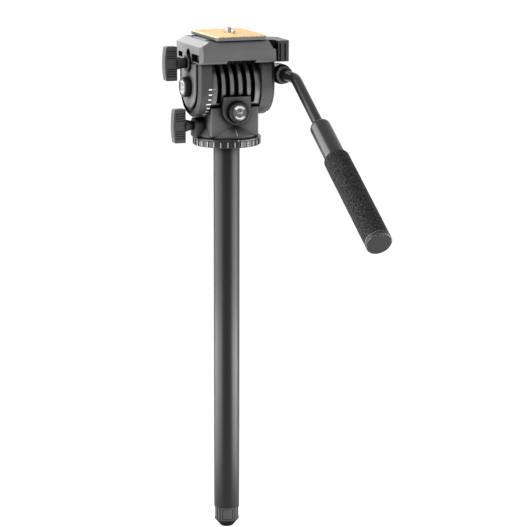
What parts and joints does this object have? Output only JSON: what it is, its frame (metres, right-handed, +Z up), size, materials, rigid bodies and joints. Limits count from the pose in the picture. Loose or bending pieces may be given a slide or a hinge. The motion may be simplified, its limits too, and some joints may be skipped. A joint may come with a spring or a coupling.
{
  "type": "fluid drag pan and tilt head on a centre column",
  "caption": "Pan and tilt video head with a finned drag drum, a sliding quick-release plate and a foam-grip pan handle, on a plain tubular centre column.",
  "frame": {"origin": "on the pan axis, at the top end of the centre column, where the ring of the head stands on it", "axes": "+Z up along the pan axis, -Y towards the operator, +X along the tilt axis towards the handle"},
  "size_m": [0.135, 0.3295, 0.5454],
  "materials": {
    "anodised_black": "satin black anodised",
    "cast_black": "fine textured black paint on cast alloy",
    "moulded_black": "satin moulded",
    "cover_grey": "fine textured",
    "gloss_black": "gloss black enamel",
    "foot_rubber": "satin moulded rubber",
    "foam": "closed-cell foam",
    "cork": "fine cork sheet",
    "plate_metal": "grey anodised",
    "bright_steel": "machined",
    "dark_steel": "blackened",
    "bronze": "sintered",
    "friction_disc": "fibre friction disc"
  },
  "bodies": {
    "column": {"column_tube": "anodised_black", "column_plug": "moulded_black", "head_stud": "bright_steel", "base_ring": "anodised_black", "base_screws": "dark_steel", "pan_spindle": "bright_steel", "thrust_washer": "bronze", "spindle_washer": "bright_steel", "spindle_nut": "bright_steel", "foot_insert": "moulded_black"},
    "foot": {"foot_cap": "foot_rubber"},
    "pan": {"pan_block": "cast_black", "pan_bushing": "bronze", "fin_drum": "cast_black", "drum_screws": "dark_steel", "tilt_bushing_left": "bronze", "tilt_bushing_right": "bronze", "drag_stators": "bright_steel"},
    "tilt": {"left_housing": "cast_black", "left_cover": "cover_grey", "right_housing": "cast_black", "right_cover": "moulded_black", "tilt_axle": "bright_steel", "axle_nut": "bright_steel", "drag_rotors": "friction_disc", "tilt_lock_collar": "moulded_black", "platform": "cast_black", "platform_screws": "dark_steel", "fixed_jaw": "plate_metal", "jaw_screws": "dark_steel", "lever_pivot_pin": "bright_steel", "lever_spring": "bright_steel", "handle_socket": "cast_black", "socket_screws": "dark_steel"},
    "pan_drag": {"pan_drag_knob": "moulded_black", "pan_drag_screw": "bright_steel"},
    "pan_drag_pad": {"pan_drag_pad": "bronze"},
    "pan_lock": {"pan_lock_knob": "moulded_black", "pan_lock_screw": "bright_steel"},
    "pan_lock_shoe": {"pan_lock_shoe": "bronze"},
    "tilt_lock": {"tilt_lock_knob": "moulded_black", "tilt_lock_screw": "bright_steel"},
    "tilt_lock_shoe": {"tilt_lock_shoe": "bronze"},
    "tilt_drag": {"tilt_drag_knob": "moulded_black", "tilt_drag_screw": "bright_steel"},
    "lever": {"qr_lever": "moulded_black"},
    "plate": {"camera_plate": "plate_metal", "cork_pad": "cork", "pin_plug": "bright_steel", "pin_spring": "bright_steel"},
    "camera_screw": {"camera_screw": "bright_steel"},
    "video_pin": {"video_pin": "bright_steel"},
    "handle": {"handle_rod": "gloss_black", "handle_sleeve": "moulded_black", "foam_grip": "foam", "grip_end_cap": "moulded_black"},
    "handle_collar": {"handle_lock_collar": "moulded_black"}
  },
  "joints": [
    {"name": "pan", "type": "hinge", "parent": "column", "child": "pan", "pos_m": [0, 0, 0], "axis": [0, 0, 1], "continuous": true},
    {"name": "tilt", "type": "hinge", "parent": "pan", "child": "tilt", "pos_m": [0, 0, 0.0623], "axis": [1, 0, 0], "range_deg": [-90, 60]},
    {"name": "foot_thread", "type": "hinge", "parent": "column", "child": "foot", "pos_m": [0, 0, -0.399], "axis": [0, 0, 1], "continuous": true},
    {"name": "pan_drag_turn", "type": "hinge", "parent": "pan", "child": "pan_drag", "pos_m": [0, -0.033, 0.0379], "axis": [0, 1, 0], "range_deg": [0, 270]},
    {"name": "pan_drag_press", "type": "slide", "parent": "pan", "child": "pan_drag_pad", "axis": [0, 1, 0], "range_m": [0, 0.0005]},
    {"name": "pan_lock_turn", "type": "hinge", "parent": "pan", "child": "pan_lock", "pos_m": [-0.0373, 0, 0.0215], "axis": [1, 0, 0], "range_deg": [0, 216]},
    {"name": "pan_lock_press", "type": "slide", "parent": "pan", "child": "pan_lock_shoe", "axis": [1, 0, 0], "range_m": [0, 0.0006]},
    {"name": "tilt_lock_turn", "type": "hinge", "parent": "tilt", "child": "tilt_lock", "pos_m": [-0.0425, 0, 0.0874], "axis": [1, 0, 0], "range_deg": [0, 270]},
    {"name": "tilt_lock_press", "type": "slide", "parent": "tilt", "child": "tilt_lock_shoe", "axis": [1, 0, 0], "range_m": [0, 0.00075]},
    {"name": "tilt_drag_turn", "type": "hinge", "parent": "tilt", "child": "tilt_drag", "pos_m": [-0.0428, 0, 0.0623], "axis": [1, 0, 0], "range_deg": [0, 270]},
    {"name": "lever_open", "type": "hinge", "parent": "tilt", "child": "lever", "pos_m": [0.0372, 0.01, 0.101], "axis": [0, 0, 1], "range_deg": [0, 75], "stiffness_Nm_per_rad": 0.03, "springref_deg": -34.38},
    {"name": "plate_slide", "type": "slide", "parent": "tilt", "child": "plate", "axis": [0, 1, 0], "range_m": [0, 0.08]},
    {"name": "camera_screw_turn", "type": "hinge", "parent": "plate", "child": "camera_screw", "pos_m": [0.0024, 0, 0.1175], "axis": [0, 0, 1], "continuous": true},
    {"name": "video_pin_press", "type": "slide", "parent": "plate", "child": "video_pin", "axis": [0, 0, 1], "range_m": [-0.0042, 0], "stiffness_N_per_m": 250, "springref_m": 0.002, "deforming": ["pin_spring"]},
    {"name": "handle_turn", "type": "hinge", "parent": "tilt", "child": "handle", "pos_m": [0.0518, -0.0275, 0.0747], "axis": [0, 1, 0], "continuous": true},
    {"name": "handle_collar_turn", "type": "hinge", "parent": "tilt", "child": "handle_collar", "pos_m": [0.0518, -0.0275, 0.0747], "axis": [0, 1, 0], "range_deg": [0, 180]}
  ],
  "couplings": [
    {"joint": "pan_drag_press", "follows": "pan_drag_turn", "m_per_rad": 0.0001061},
    {"joint": "pan_lock_press", "follows": "pan_lock_turn", "m_per_rad": 0.00015915},
    {"joint": "tilt_lock_press", "follows": "tilt_lock_turn", "m_per_rad": 0.00015915}
  ]
}
